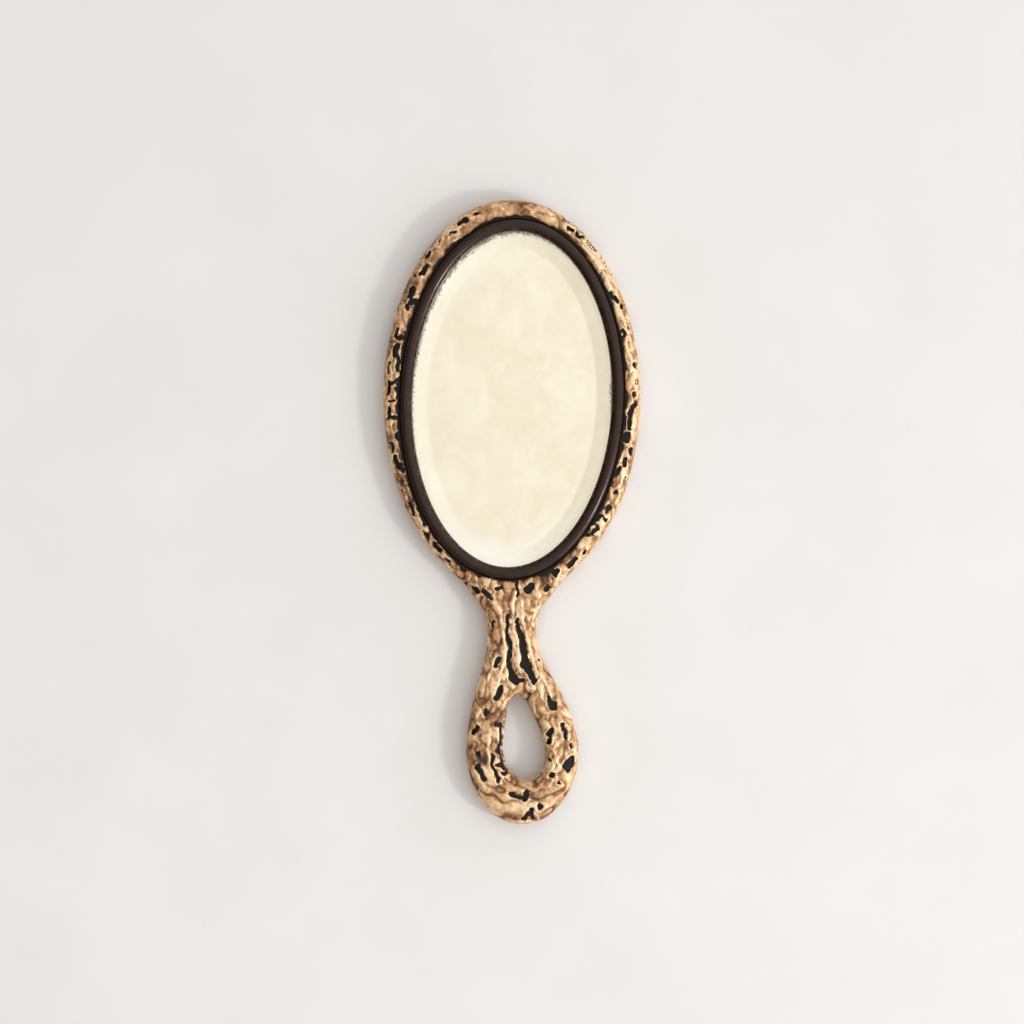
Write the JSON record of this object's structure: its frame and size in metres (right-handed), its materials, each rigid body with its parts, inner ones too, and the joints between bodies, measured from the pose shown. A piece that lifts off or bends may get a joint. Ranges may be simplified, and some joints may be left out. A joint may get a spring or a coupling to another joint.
{
  "type": "hand mirror",
  "caption": "Oval hand mirror with bevelled glass in a dark half-round bezel, on a black wood body under a gilt bark-relief skin, with a neck and a hanging loop.",
  "frame": {"origin": "centre of the outline's bounding box, on the plane that the back rests on", "axes": "+Z out of the mirror's face, +Y along the mirror from the hanging loop to the head, +X to the right of someone who looks into the glass"},
  "size_m": [0.1048, 0.254, 0.0128],
  "materials": {
    "black_wood": "ebonised, satin",
    "gilt_skin": "rubbed gilding over moulded composition, satin, darker in the hollows",
    "bezel_brown": "moulded dark brown composition, polished, chipped along its inner edge",
    "plate_glass": "polished, with a wide ground bevel",
    "old_silver": "aged silvering, warm, with foxing along the edge",
    "red_lead_paint": "matt protective paint",
    "card": "grey-brown strawboard",
    "felt": "thin green wool felt"
  },
  "bodies": {
    "root": {"body_core": "black_wood", "gilt_front": "gilt_skin", "gilt_back": "gilt_skin", "bezel": "bezel_brown", "mirror_glass": "plate_glass", "silver_coat": "old_silver", "backing_paint": "red_lead_paint", "backing_card": "card", "felt_pad": "felt", "packing_slips": "card"}
  },
  "joints": []
}
